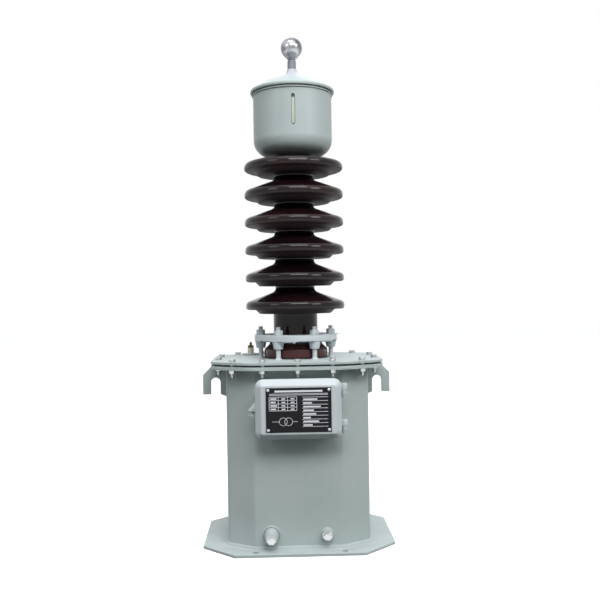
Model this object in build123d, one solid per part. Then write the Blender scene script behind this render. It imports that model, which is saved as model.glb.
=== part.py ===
from build123d import *

import os
from math import acos, atan2, cos, radians, sin, sqrt

# Oil-immersed voltage transformer for an outdoor medium-voltage line: a welded steel tank with a
# bolted lid, a shedded porcelain bushing held by a clamp ring, and an oil conservator with the
# high-voltage terminal on top. Millimetres, +Z up, front face towards -Y. The origin is the centre
# of the base plate's four bolt holes, on the underside of the plate.

# Base plate
plate_length = 440
plate_depth = 356
plate_thickness = 6
plate_corner = 75
foot_hole_diameter = 14
foot_hole_spacing_x = 197
foot_hole_spacing_y = 320

# Tank wall, an elongated octagon of folded sheet
tank_length = 328
tank_depth = 262
tank_front_flat = 200
tank_side_flat = 186
tank_wall = 4
tank_height = 402
tank_bend_radius = 14

# Tank flange, gasket and lid
flange_reach = 34.5
flange_thickness = 8
gasket_reach = 11
gasket_thickness = 4
lid_thickness = 6
lid_mouth_diameter = 96

# Lid bolts
lid_bolt_diameter = 8
lid_bolt_clearance = 0.5
lid_bolt_reach = 19
lid_bolt_spacing_x = 78
lid_bolt_spacing_y = 96
lid_bolt_corner_shift = 6
bolt_head_across = 13
bolt_head_height = 6.5
bolt_tail = 10

# Lifting hooks
hook_thickness = 10
hook_reach = 61
hook_leg_width = 19
hook_slot_width = 23
hook_slot_height = 40
hook_drop = 68
hook_slope = 21
hook_inner_slant = 7

# Porcelain bushing
seat_gasket_thickness = 3
foot_diameter = 152
foot_height = 31
shoulder_slope = 13
neck_diameter = 106
core_diameter = 94
crown_diameter = 79
shed_diameter = 238
shed_count = 6
shed_pitch = 66.6
first_shed_height = 124
shed_rise = 33
shed_rim_half = 9
lip_diameter = 172
lip_drop = 21
lip_slant = 10
crown_rise = 22
bushing_bore_diameter = 50

# Clamp ring, its studs and nuts
packing_thickness = 7
packing_width = 6
ring_diameter = 198
ring_thickness = 15
ring_gap = 4
ring_edge_radius = 1.5
stud_circle_diameter = 169
stud_count = 6
stud_diameter = 11
stud_clearance = 0.4
stud_tail = 9
boss_top_diameter = 28
boss_foot_diameter = 21
boss_height = 17
nut_across = 18
nut_height = 11

# Conservator bowl and its lid
crown_gasket_thickness = 3
bowl_diameter = 189
bowl_height = 148
bowl_wall = 3
bowl_knuckle = 38
bowl_lip_reach = 3
bowl_lip_thickness = 3
cap_gasket_thickness = 2
cap_overhang = 6.5
cap_rim_height = 8
cap_rim_radius = 2.5
cap_rise = 35
cap_wall = 3

# Oil level glass, a round-ended slot in the bowl's front
glass_width = 9
glass_length = 73
glass_foot_height = 57
glass_thickness = 4
glass_setback = 1.2

# High-voltage terminal
terminal_foot_diameter = 44
terminal_foot_rise = 17
terminal_foot_lip = 1.5
terminal_flare_step = 1.2
terminal_flare_sag = 2
stem_diameter = 20.5
stem_height = 24
stem_groove = 2
stem_groove_height = 3
ball_diameter = 52
ball_rise = 28.7
ball_neck_diameter = 20

# Neutral bushing, on the lid's rear left
neutral_x = -113
neutral_y = 106
neutral_flange_diameter = 42
neutral_flange_thickness = 4.5
neutral_diameter = 16
neutral_height = 14
neutral_edge_radius = 1.5
neutral_nut_across = 13
neutral_nut_height = 6
neutral_stud_diameter = 6
neutral_stud_tail = 8

# Terminal box on the tank's front
box_height_above_plate = 319
box_width = 178
box_height = 120
box_depth = 42
box_wall = 3
box_corner = 12
box_flange_reach = 6
box_flange_thickness = 3
box_seal_thickness = 2
door_gap = 0.3
door_skirt = 7
door_bevel = 13
door_wall = 3
door_shoulder_radius = 6
door_face_radius = 4

# Hinges and pins
hinge_offset = 7
hinge_setback = 3
knuckle_diameter = 12
knuckle_length = 14.5
knuckle_gap = 0.6
hinge_spacing = 79
pin_diameter = 5
pin_clearance = 0.05
pin_tail = 1.5
leaf_thickness = 3

# Sealing lugs, one on the door and one on the box
lug_reach = 16
lug_height = 18
lug_drop = 12
lug_hole_diameter = 4

# Rating plate
label_width = 143
label_height = 97
label_thickness = 1

# Terminal board and low-voltage terminals inside the box
board_width = 150
board_height = 52
board_thickness = 8
board_rise = 28
terminal_count = 4
terminal_pitch = 34
terminal_stud_diameter = 6
terminal_stud_length = 24
terminal_nut_across = 10
terminal_nut_height = 5

# Cable entry in the box floor
grommet_bore_diameter = 18
grommet_wall = 4
grommet_flange = 3
grommet_lip = 2

# Drain valve and earthing bolt, low on the tank's front
fitting_height = 29
drain_x = -64
drain_boss_diameter = 36
drain_tip_diameter = 28
drain_boss_length = 33
drain_edge_radius = 3
drain_plug_across = 16
drain_plug_length = 12
earth_x = 62
earth_boss_diameter = 26
earth_boss_length = 12
earth_washer_diameter = 22
earth_washer_thickness = 2.5
earth_bolt_across = 16
earth_bolt_height = 10

# Heights of the stacked pieces, from the ground up
tank_top = plate_thickness + tank_height
flange_top = tank_top + flange_thickness
gasket_top = flange_top + gasket_thickness
lid_top = gasket_top + lid_thickness
porcelain_foot = lid_top + seat_gasket_thickness
shoulder_height = porcelain_foot + foot_height
ring_foot = shoulder_height + packing_thickness
ring_top = ring_foot + ring_thickness
porcelain_top = porcelain_foot + first_shed_height + (shed_count - 1) * shed_pitch + crown_rise
bowl_foot = porcelain_top + crown_gasket_thickness
bowl_top = bowl_foot + bowl_height
cap_foot = bowl_top + cap_gasket_thickness
cap_shoulder = cap_foot + cap_rim_height
cap_top = cap_shoulder + cap_rise
stem_foot = cap_top + terminal_foot_rise
stem_top = stem_foot + stem_height
neutral_foot = lid_top + neutral_flange_thickness

# Depths of the box, from the tank's front face outwards
tank_front = -tank_depth / 2
box_front = tank_front - box_depth
seal_front = box_front - box_seal_thickness
door_back = seal_front - door_gap
box_centre = plate_thickness + box_height_above_plate
door_width = box_width + 2 * box_flange_reach
door_height = box_height + 2 * box_flange_reach
door_corner = box_corner + box_flange_reach
door_depth = door_skirt + door_bevel
door_front = door_back - door_depth
hinge_x = door_width / 2 + hinge_offset
hinge_y = door_back - hinge_setback
stud_radius = stud_circle_diameter / 2


def tank_outline(reach):
    """The tank's octagon with folded corners, grown outwards by reach."""
    front = tank_front_flat / 2
    side = tank_side_flat / 2
    corners = [
        (front, tank_depth / 2),
        (tank_length / 2, side),
        (tank_length / 2, -side),
        (front, -tank_depth / 2),
        (-front, -tank_depth / 2),
        (-tank_length / 2, -side),
        (-tank_length / 2, side),
        (-front, tank_depth / 2),
    ]
    outline = make_face(Polyline(*corners, close=True))
    folded = fillet(outline.vertices(), tank_bend_radius)
    if reach == 0:
        return folded
    return offset(folded, amount=reach, kind=Kind.ARC)


def slab(face, foot, thickness):
    """A flat face in plan, raised to foot and given its thickness upwards."""
    return extrude(Pos(0, 0, foot) * face, amount=thickness, dir=(0, 0, 1))


def tube(outer_diameter, inner_diameter, foot, height):
    """A plain round ring or sleeve about the vertical axis."""
    return slab(Circle(outer_diameter / 2) - Circle(inner_diameter / 2), foot, height)


def lid_bolt_places():
    """The plan positions of the lid bolts: six along the long sides, four each side, four on facets."""
    row_y = tank_depth / 2 + lid_bolt_reach
    row_x = tank_length / 2 + lid_bolt_reach
    facet_x = (tank_front_flat + tank_length) / 4
    facet_y = (tank_depth + tank_side_flat) / 4
    run_x = (tank_length - tank_front_flat) / 2
    run_y = (tank_depth - tank_side_flat) / 2
    run = sqrt(run_x**2 + run_y**2)
    corner_x = facet_x + (lid_bolt_reach * run_y + lid_bolt_corner_shift * run_x) / run
    corner_y = facet_y + (lid_bolt_reach * run_x - lid_bolt_corner_shift * run_y) / run
    places = [(x, side * row_y) for x in (-lid_bolt_spacing_x, 0, lid_bolt_spacing_x) for side in (-1, 1)]
    places += [(side * row_x, y) for y in (-lid_bolt_spacing_y / 2, lid_bolt_spacing_y / 2) for side in (-1, 1)]
    places += [(x_side * corner_x, y_side * corner_y) for x_side in (-1, 1) for y_side in (-1, 1)]
    return [Pos(x, y, 0) for x, y in places]


def stud_places():
    """The plan positions of the clamp studs, the first one 30 degrees from the front."""
    step = 360 / stud_count
    angles = [step / 2 + step * index - 90 for index in range(stud_count)]
    return [Pos(stud_radius * cos(radians(a)), stud_radius * sin(radians(a)), 0) for a in angles]


def hexagon(across_flats):
    """A hexagon sized by the distance between its flats."""
    return RegularPolygon(across_flats / 2, 6, major_radius=False)


def base_plate():
    """Bottom plate with cut corners and the four holes that bolt it to its stand."""
    outline = Rectangle(plate_length, plate_depth)
    outline = chamfer(outline.vertices(), plate_corner)
    holes = GridLocations(foot_hole_spacing_x, foot_hole_spacing_y, 2, 2) * Circle(foot_hole_diameter / 2)
    return slab(outline - holes, 0, plate_thickness)


def tank_shell():
    """Folded tank wall, open at both ends, welded to the plate and to the flange."""
    ring = tank_outline(0) - offset(tank_outline(0), amount=-tank_wall)
    return slab(ring, plate_thickness, tank_height)


def lid_bolt_holes(foot, height):
    """Clearance holes for the lid bolts through a flange or lid."""
    hole = Circle((lid_bolt_diameter + 2 * lid_bolt_clearance) / 2)
    return [slab(place * hole, foot, height) for place in lid_bolt_places()]


def tank_flange():
    """Flat ring on the tank's upper edge that carries the lid."""
    ring = tank_outline(flange_reach) - offset(tank_outline(0), amount=-tank_wall)
    return slab(ring, tank_top, flange_thickness) - lid_bolt_holes(tank_top, flange_thickness)


def lid_gasket():
    """Rubber ring between flange and lid, set inboard of the bolts."""
    ring = tank_outline(gasket_reach) - offset(tank_outline(0), amount=-tank_wall)
    return slab(ring, flange_top, gasket_thickness)


def tank_lid():
    """Lid plate, open under the bushing so that the windings' lead can rise through it."""
    plate = tank_outline(flange_reach) - Circle(lid_mouth_diameter / 2)
    neutral_hole = Pos(neutral_x, neutral_y, 0) * Circle(neutral_stud_diameter / 2)
    return slab(plate - neutral_hole, gasket_top, lid_thickness) - lid_bolt_holes(gasket_top, lid_thickness)


def lid_bolt():
    """One hexagon bolt with its nut, on the lid's centre line."""
    clamped = flange_thickness + gasket_thickness + lid_thickness
    nut_foot = tank_top - bolt_head_height
    shank = Pos(0, 0, nut_foot - bolt_tail) * Cylinder(
        lid_bolt_diameter / 2,
        clamped + bolt_head_height + bolt_tail,
        align=(Align.CENTER, Align.CENTER, Align.MIN),
    )
    return shank + slab(hexagon(bolt_head_across), nut_foot, bolt_head_height) + slab(
        hexagon(bolt_head_across), lid_top, bolt_head_height
    )


def lid_bolts():
    """All the lid bolts, as separate solids that share a node."""
    bolt = lid_bolt()
    return [place * bolt for place in lid_bolt_places()]


def lifting_hook(side):
    """Plate hook welded to the tank's end wall, with a round-topped slot open downwards for a sling."""
    wall = tank_length / 2
    tip = wall + hook_reach
    foot = tank_top - hook_drop
    slot_outer = tip - hook_leg_width
    slot_inner = slot_outer - hook_slot_width
    outline = make_face(
        Polyline(
            (wall, tank_top),
            (tip - hook_slope, tank_top),
            (tip, tank_top - hook_slope),
            (tip, foot),
            (slot_inner, foot),
            (wall, foot - hook_inner_slant),
            close=True,
        )
    )
    slot_middle = (slot_outer + slot_inner) / 2
    arch = foot + hook_slot_height - hook_slot_width / 2
    slot = Pos(slot_middle, arch) * Circle(hook_slot_width / 2)
    slot += Pos(slot_middle, (arch + foot) / 2) * Rectangle(hook_slot_width, arch - foot)
    hook = extrude(Plane.XZ * (outline - slot), amount=hook_thickness / 2, both=True)
    return hook if side > 0 else mirror(hook, about=Plane.YZ)


def shed_corners(rim):
    """Corner points and their rounding for one shed, from its underside up to its upper slope."""
    core = core_diameter / 2
    edge = shed_diameter / 2
    lip = lip_diameter / 2
    return [
        ((core, rim - lip_drop), 4),
        ((lip, rim - lip_drop), 3),
        ((lip + lip_slant, rim - shed_rim_half - 2), 5),
        ((edge, rim - shed_rim_half - 2), 7),
        ((edge, rim + shed_rim_half - 2), 7),
        ((core, rim + shed_rise), 13),
    ]


def porcelain_bushing():
    """Hollow porcelain body: a clamped foot, a neck and a column of broad sheds, in one revolve."""
    core = core_diameter / 2
    bore = bushing_bore_diameter / 2
    first_rim = porcelain_foot + first_shed_height
    corners = [
        ((foot_diameter / 2, porcelain_foot), 2),
        ((foot_diameter / 2, shoulder_height - shoulder_slope), 4),
        ((foot_diameter / 2 - shoulder_slope, shoulder_height), 2),
        ((neck_diameter / 2, shoulder_height), 3),
        ((neck_diameter / 2, first_rim - lip_drop), 3),
    ]
    corners += shed_corners(first_rim)[1:]
    for index in range(1, shed_count):
        corners += shed_corners(first_rim + index * shed_pitch)
    crown = crown_diameter / 2
    corners[-1] = ((crown + 6, porcelain_top - 2), 4)
    start = (bore, porcelain_foot)
    end = (bore, porcelain_top)
    points = [start] + [point for point, radius in corners] + [(crown, porcelain_top), end]
    radii = [radius for point, radius in corners] + [1]
    side = FilletPolyline(*points, radius=radii)
    face = make_face(side + Line(end, start))
    return revolve(Plane.XZ * face, axis=Axis.Z)


def seat_gasket():
    """Rubber ring under the porcelain foot."""
    return tube(foot_diameter, lid_mouth_diameter, lid_top, seat_gasket_thickness)


def ring_packing():
    """Soft ring that spreads the clamp ring's load on the porcelain shoulder."""
    inner = neck_diameter + 2 * ring_gap
    return tube(inner + 2 * packing_width, inner, shoulder_height, packing_thickness)


def clamp_ring():
    """Cast clamp ring with a tapered boss round each stud."""
    ring = tube(ring_diameter, neck_diameter + 2 * ring_gap, ring_foot, ring_thickness)
    ring = fillet(ring.edges().filter_by(GeomType.CIRCLE).sort_by(SortBy.RADIUS)[-2:], ring_edge_radius)
    boss = Pos(0, 0, ring_foot - boss_height / 2) * Cone(
        boss_foot_diameter / 2, boss_top_diameter / 2, boss_height
    )
    hole = Circle(stud_diameter / 2 + stud_clearance)
    for place in stud_places():
        ring += place * boss
    for place in stud_places():
        ring -= slab(place * hole, ring_foot - boss_height, boss_height + ring_thickness)
    return ring


def clamp_studs():
    """Studs welded to the lid that pull the clamp ring down."""
    length = ring_top + nut_height + stud_tail - lid_top
    return [slab(place * Circle(stud_diameter / 2), lid_top, length) for place in stud_places()]


def clamp_nuts():
    """Nuts on the clamp studs."""
    ring = hexagon(nut_across) - Circle(stud_diameter / 2)
    return [slab(place * ring, ring_top, nut_height) for place in stud_places()]


def crown_gasket():
    """Rubber ring between the porcelain's crown and the conservator."""
    return tube(crown_diameter, bushing_bore_diameter, porcelain_top, crown_gasket_thickness)


def level_slot(clear):
    """The level glass's outline on the front, grown by clear, as a prism through the bowl's wall."""
    outline = SlotOverall(glass_length + 2 * clear, glass_width + 2 * clear, rotation=90)
    middle = bowl_foot + glass_foot_height + glass_length / 2
    front = Plane(origin=(0, 0, middle), x_dir=(1, 0, 0), z_dir=(0, -1, 0))
    return extrude(front * outline, amount=bowl_diameter)


def conservator_bowl():
    """Oil conservator: a deep bowl with a rolled lip, open on top and over the porcelain's bore."""
    outer = bowl_diameter / 2
    inner = outer - bowl_wall
    lip = outer + bowl_lip_reach
    bore = bushing_bore_diameter / 2
    lip_foot = bowl_top - bowl_lip_thickness
    points = [
        (bore, bowl_foot),
        (outer, bowl_foot),
        (outer, lip_foot),
        (lip, lip_foot),
        (lip, bowl_top),
        (inner, bowl_top),
        (inner, bowl_foot + bowl_wall),
        (bore, bowl_foot + bowl_wall),
    ]
    radii = [bowl_knuckle, 0.5, 1, 1, 1, bowl_knuckle - bowl_wall]
    side = FilletPolyline(*points, radius=radii)
    face = make_face(side + Line(points[-1], points[0]))
    bowl = revolve(Plane.XZ * face, axis=Axis.Z)
    return bowl - level_slot(0)


def level_glass():
    """Glass of the oil level gauge, set in the bowl's slot and curved like the wall."""
    face = bowl_diameter / 2 - glass_setback
    ring = tube(2 * face, 2 * (face - glass_thickness), bowl_foot, bowl_height)
    return ring & level_slot(0)


def cap_gasket():
    """Rubber ring between the bowl's lip and the cap."""
    outer = bowl_diameter + 2 * bowl_lip_reach - 2
    return tube(outer, bowl_diameter - 2 * bowl_wall, bowl_top, cap_gasket_thickness)


def dome_radius():
    """Radius of the cap's spherical dome, from its rise and its span."""
    span = bowl_diameter / 2
    return (span**2 + cap_rise**2) / (2 * cap_rise)


def conservator_cap():
    """Domed cap with a flat rim that overhangs the bowl."""
    radius = dome_radius()
    centre = cap_top - radius
    span = bowl_diameter / 2
    cap_edge = span + cap_overhang
    inner_radius = radius - cap_wall
    inner_span = span - bowl_wall
    inner_shoulder = centre + sqrt(inner_radius**2 - inner_span**2)
    middle = radius * sin(radians(18))
    inner_middle = inner_radius * sin(radians(18))
    outline = FilletPolyline(
        (inner_span, inner_shoulder),
        (inner_span, cap_foot),
        (cap_edge, cap_foot),
        (cap_edge, cap_shoulder),
        (span, cap_shoulder),
        radius=[0.5, cap_rim_radius, cap_rim_radius],
    )
    outline += ThreePointArc(
        (span, cap_shoulder), (middle, centre + sqrt(radius**2 - middle**2)), (0, cap_top)
    )
    outline += Line((0, cap_top), (0, cap_top - cap_wall))
    outline += ThreePointArc(
        (0, cap_top - cap_wall),
        (inner_middle, centre + sqrt(inner_radius**2 - inner_middle**2)),
        (inner_span, inner_shoulder),
    )
    return revolve(Plane.XZ * make_face(outline), axis=Axis.Z)


def terminal_foot():
    """Flared foot of the high-voltage terminal, seated on the dome."""
    foot = terminal_foot_diameter / 2
    neck = stem_diameter / 2 + terminal_flare_step
    seat = cap_top - dome_radius() + sqrt(dome_radius() ** 2 - foot**2)
    side = SagittaArc((foot, seat + terminal_foot_lip), (neck, stem_foot), terminal_flare_sag)
    outline = Polyline((neck, stem_foot), (0, stem_foot), (0, seat - cap_wall), (foot, seat - cap_wall))
    outline += Line((foot, seat - cap_wall), (foot, seat + terminal_foot_lip))
    flare = revolve(Plane.XZ * make_face(outline + side), axis=Axis.Z)
    dome = Pos(0, 0, cap_top - dome_radius()) * Sphere(dome_radius())
    return flare - dome


def terminal_stem():
    """Round stem with a groove below the ball."""
    stem = stem_diameter / 2
    groove = stem - stem_groove
    groove_foot = stem_top - stem_groove_height
    points = [
        (0, stem_foot),
        (stem, stem_foot),
        (stem, groove_foot),
        (groove, groove_foot),
        (groove, stem_top),
        (0, stem_top),
    ]
    return revolve(Plane.XZ * make_face(Polyline(*points, close=True)), axis=Axis.Z)


def ball_terminal():
    """Ball contact turned in one with its neck, a cone that meets the ball on a tangent."""
    radius = ball_diameter / 2
    neck = ball_neck_diameter / 2
    centre = stem_top + ball_rise
    reach = sqrt(neck**2 + ball_rise**2)
    touch_angle = atan2(-ball_rise, neck) + acos(radius / reach)
    touch = (radius * cos(touch_angle), centre + radius * sin(touch_angle))
    outline = Polyline((0, centre + radius), (0, stem_top), (neck, stem_top), touch)
    outline += ThreePointArc(touch, (radius * cos(radians(30)), centre + radius / 2), (0, centre + radius))
    return revolve(Plane.XZ * make_face(outline), axis=Axis.Z)


def neutral_flange():
    """Round flange that carries the neutral bushing, welded on the lid round its stud."""
    ring = Circle(neutral_flange_diameter / 2) - Circle(neutral_stud_diameter / 2)
    return Pos(neutral_x, neutral_y, 0) * slab(ring, lid_top, neutral_flange_thickness)


def neutral_bushing():
    """Small porcelain bushing of the neutral lead, hollow for its stud."""
    ring = Circle(neutral_diameter / 2) - Circle(neutral_stud_diameter / 2)
    body = slab(ring, neutral_foot, neutral_height)
    rim = body.edges().filter_by(GeomType.CIRCLE).group_by(Axis.Z)[-1].sort_by(SortBy.RADIUS)[-1]
    return Pos(neutral_x, neutral_y, 0) * fillet(rim, neutral_edge_radius)


def neutral_terminal():
    """Stud of the neutral lead, up through the lid and the bushing, and its nut."""
    top = neutral_foot + neutral_height
    length = top + neutral_nut_height + neutral_stud_tail - gasket_top
    nut = slab(hexagon(neutral_nut_across), top, neutral_nut_height)
    stud = slab(Circle(neutral_stud_diameter / 2), gasket_top, length)
    return Pos(neutral_x, neutral_y, 0) * (nut + stud)


def box_rectangle(width, height, corner):
    """A rounded rectangle in the box's front view."""
    return RectangleRounded(width, height, corner)


def front_prism(face, back, depth):
    """A face in the box's front view, extruded towards the viewer from the depth back."""
    view = Plane(origin=(0, back, box_centre), x_dir=(1, 0, 0), z_dir=(0, -1, 0))
    return extrude(view * face, amount=depth)


def knuckle(foot, bore):
    """One hinge knuckle on the pin's axis."""
    ring = Circle(knuckle_diameter / 2) - Circle(bore / 2)
    return Pos(hinge_x, hinge_y, 0) * slab(ring, foot, knuckle_length)


def hinge_feet():
    """Heights of the lower end of each hinge."""
    whole = 2 * knuckle_length + knuckle_gap
    return [box_centre + side * hinge_spacing / 2 - whole / 2 for side in (-1, 1)]


def pin_bore(foot, bore):
    """The hole of one knuckle."""
    return Pos(hinge_x, hinge_y, 0) * slab(Circle(bore / 2), foot, knuckle_length)


def leaf(back, front, inner, foot):
    """Web between a knuckle and the sheet that carries it."""
    width = hinge_x - inner
    depth = back - front
    plan = Pos(inner + width / 2, (back + front) / 2) * Rectangle(width, depth)
    return slab(plan, foot, knuckle_length)


def seal_lug(height):
    """Three-cornered sealing lug on the left edge, with a hole for the seal wire."""
    edge = -door_width / 2
    outline = make_face(
        Polyline((edge + 4, height), (edge, height), (edge - lug_reach, -2), (edge, -4), (edge + 4, -4), close=True)
    )
    return outline - Pos(edge - lug_reach / 3, 0.5) * Circle(lug_hole_diameter / 2)


def box_body():
    """Open-fronted terminal box welded to the tank, with a front flange, a lug and a cable hole."""
    outer = box_rectangle(box_width, box_height, box_corner)
    inner = box_rectangle(box_width - 2 * box_wall, box_height - 2 * box_wall, box_corner - box_wall)
    rim = box_rectangle(door_width, door_height, door_corner)
    body = front_prism(outer - inner, tank_front, box_depth)
    body += front_prism(rim - inner, box_front + box_flange_thickness, box_flange_thickness)
    lug = Pos(0, -lug_drop) * seal_lug(lug_height)
    body += front_prism(lug, box_front + box_flange_thickness, box_flange_thickness)
    entry = Pos(0, tank_front - box_depth / 2) * Circle(grommet_bore_diameter / 2 + grommet_wall)
    return body - slab(entry, box_centre - box_height / 2, box_wall)


def box_knuckles():
    """The lower half of each hinge, welded to the edge of the box's flange."""
    halves = []
    for foot in hinge_feet():
        half = leaf(box_front + leaf_thickness, box_front, door_width / 2, foot)
        half += knuckle(foot, pin_diameter)
        halves.append(half - pin_bore(foot, pin_diameter))
    return halves


def door_knuckles():
    """The upper half of each hinge, welded to the door's edge."""
    bore = pin_diameter + 2 * pin_clearance
    halves = []
    for foot in hinge_feet():
        upper = foot + knuckle_length + knuckle_gap
        half = leaf(hinge_y, hinge_y - leaf_thickness, door_width / 2, upper)
        half += knuckle(upper, bore)
        halves.append(half - pin_bore(upper, bore))
    return halves


def box_seal():
    """Rubber seal on the box's front flange."""
    outer = box_rectangle(door_width, door_height, door_corner)
    inner = box_rectangle(box_width - 2 * box_wall, box_height - 2 * box_wall, box_corner - box_wall)
    return front_prism(outer - inner, box_front, box_seal_thickness)


def box_door():
    """Pressed box door: a shallow tray with bevelled, rounded sides and a sealing lug."""
    outer = box_rectangle(door_width, door_height, door_corner)
    inner = box_rectangle(
        door_width - 2 * door_wall, door_height - 2 * door_wall, door_corner - door_wall
    )
    skirt_front = door_back - door_skirt
    door = front_prism(outer, door_back, door_skirt)
    door += bevel(outer, skirt_front, door_bevel)
    face_edges = door.edges().group_by(Axis.Y)[0]
    door = fillet(face_edges, door_face_radius)
    shoulder_edges = door.edges().filter_by_position(Axis.Y, skirt_front - 0.01, skirt_front + 0.01)
    door = fillet(shoulder_edges, door_shoulder_radius)
    door -= front_prism(inner, door_back, door_skirt)
    door -= bevel(inner, skirt_front, door_bevel - door_wall)
    door += front_prism(seal_lug(lug_height), door_back, leaf_thickness)
    return door


def bevel(face, back, depth):
    """A prism of the door's outline that narrows towards the front by its own depth."""
    view = Plane(origin=(0, back, box_centre), x_dir=(1, 0, 0), z_dir=(0, -1, 0))
    return extrude(view * face, amount=depth, taper=45)


def hinge_pins():
    """Pins fixed in the box's knuckles, one for each hinge."""
    length = 2 * knuckle_length + knuckle_gap + 2 * pin_tail
    pin = Circle(pin_diameter / 2)
    return [Pos(hinge_x, hinge_y, 0) * slab(pin, foot - pin_tail, length) for foot in hinge_feet()]


def rating_plate():
    """Bare rating plate on the door."""
    return front_prism(Rectangle(label_width, label_height), door_front, label_thickness)


def terminal_board():
    """Insulating board that carries the low-voltage terminals, on the tank's wall inside the box."""
    outline = Pos(0, board_rise) * Rectangle(board_width, board_height)
    return front_prism(outline, tank_front, board_thickness)


def board_terminal():
    """One low-voltage terminal: stud and nut, at the middle of the board."""
    face = tank_front - board_thickness
    stud = front_prism(Pos(0, board_rise) * Circle(terminal_stud_diameter / 2), face, terminal_stud_length)
    nut = front_prism(Pos(0, board_rise) * hexagon(terminal_nut_across), face, terminal_nut_height)
    return stud + nut


def board_terminals():
    """The row of low-voltage terminals."""
    first = -(terminal_count - 1) / 2 * terminal_pitch
    return [Pos(first + index * terminal_pitch, 0, 0) * board_terminal() for index in range(terminal_count)]


def cable_grommet():
    """Rubber grommet in the box floor, where the low-voltage cable comes in."""
    floor = box_centre - box_height / 2
    sleeve = grommet_bore_diameter + 2 * grommet_wall
    collar = sleeve + 2 * grommet_flange
    ring = tube(sleeve, grommet_bore_diameter, floor - grommet_lip, box_wall + grommet_lip)
    ring += tube(collar, grommet_bore_diameter, floor - grommet_lip, grommet_lip)
    return Pos(0, tank_front - box_depth / 2, 0) * ring


def tank_fitting(face, place, start, length):
    """A face on the tank's front at place, extruded towards the viewer from start."""
    height = plate_thickness + fitting_height
    view = Plane(origin=(place, start, height), x_dir=(1, 0, 0), z_dir=(0, -1, 0))
    return extrude(view * face, amount=length)


def drain_boss():
    """Round boss of the oil drain, tapering outwards."""
    centre = (drain_x, tank_front - drain_boss_length / 2, plate_thickness + fitting_height)
    cone = Cone(drain_boss_diameter / 2, drain_tip_diameter / 2, drain_boss_length)
    cone = fillet(cone.edges().sort_by(Axis.Z)[-1], drain_edge_radius)
    return Plane(origin=centre, x_dir=(1, 0, 0), z_dir=(0, -1, 0)) * cone


def drain_plug():
    """Plug that closes the drain."""
    return tank_fitting(hexagon(drain_plug_across), drain_x, tank_front - drain_boss_length, drain_plug_length)


def earth_boss():
    """Round boss of the earthing terminal."""
    return tank_fitting(Circle(earth_boss_diameter / 2), earth_x, tank_front, earth_boss_length)


def earth_bolt():
    """Earthing bolt with its washer."""
    face = tank_front - earth_boss_length
    washer = tank_fitting(Circle(earth_washer_diameter / 2), earth_x, face, earth_washer_thickness)
    return washer + tank_fitting(
        hexagon(earth_bolt_across), earth_x, face - earth_washer_thickness, earth_bolt_height
    )


pieces = {
    "base_plate": base_plate(),
    "tank_shell": tank_shell(),
    "tank_flange": tank_flange(),
    "lid_gasket": lid_gasket(),
    "tank_lid": tank_lid(),
    "lid_bolts": lid_bolts(),
    "lifting_hook_right": lifting_hook(1),
    "lifting_hook_left": lifting_hook(-1),
    "seat_gasket": seat_gasket(),
    "porcelain_bushing": porcelain_bushing(),
    "ring_packing": ring_packing(),
    "clamp_ring": clamp_ring(),
    "clamp_studs": clamp_studs(),
    "clamp_nuts": clamp_nuts(),
    "crown_gasket": crown_gasket(),
    "conservator_bowl": conservator_bowl(),
    "level_glass": level_glass(),
    "cap_gasket": cap_gasket(),
    "conservator_cap": conservator_cap(),
    "terminal_foot": terminal_foot(),
    "terminal_stem": terminal_stem(),
    "ball_terminal": ball_terminal(),
    "neutral_flange": neutral_flange(),
    "neutral_bushing": neutral_bushing(),
    "neutral_terminal": neutral_terminal(),
    "box_body": box_body(),
    "box_seal": box_seal(),
    "box_door": box_door(),
    "box_knuckles": box_knuckles(),
    "door_knuckles": door_knuckles(),
    "hinge_pins": hinge_pins(),
    "rating_plate": rating_plate(),
    "terminal_board": terminal_board(),
    "board_terminals": board_terminals(),
    "cable_grommet": cable_grommet(),
    "drain_boss": drain_boss(),
    "drain_plug": drain_plug(),
    "earth_boss": earth_boss(),
    "earth_bolt": earth_bolt(),
}

os.makedirs("parts", exist_ok=True)
for name, shape in pieces.items():
    solids = shape if isinstance(shape, list) else [shape]
    export_step(Compound(children=solids) if len(solids) > 1 else solids[0], f"parts/{name}.step")
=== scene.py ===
from math import radians, tan

import bmesh
import bpy
import numpy as np
from mathutils import Matrix, Vector


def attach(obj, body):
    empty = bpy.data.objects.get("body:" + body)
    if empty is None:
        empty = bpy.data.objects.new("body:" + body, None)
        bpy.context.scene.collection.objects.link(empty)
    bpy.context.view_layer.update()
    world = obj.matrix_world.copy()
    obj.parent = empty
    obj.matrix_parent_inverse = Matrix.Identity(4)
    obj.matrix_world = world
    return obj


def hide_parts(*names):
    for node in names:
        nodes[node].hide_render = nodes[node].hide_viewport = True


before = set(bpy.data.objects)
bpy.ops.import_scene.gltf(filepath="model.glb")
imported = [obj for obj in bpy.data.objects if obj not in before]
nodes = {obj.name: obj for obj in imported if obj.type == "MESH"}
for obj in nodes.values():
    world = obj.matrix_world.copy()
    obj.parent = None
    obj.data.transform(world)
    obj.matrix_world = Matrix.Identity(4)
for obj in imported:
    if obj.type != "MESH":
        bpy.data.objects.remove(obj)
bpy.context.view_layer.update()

# The photographer's place: level, a little under two metres from the bushing's axis and at about half
# the height of the object. The object is turned a degree and a half, and the picture leans a touch.
camera_distance = 1.912
camera_height = 0.564
camera_side = 0.0116
camera_azimuth = -1.5
camera_lean = 0.87
focal_length = 47.4
film_width = 36.0

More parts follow.
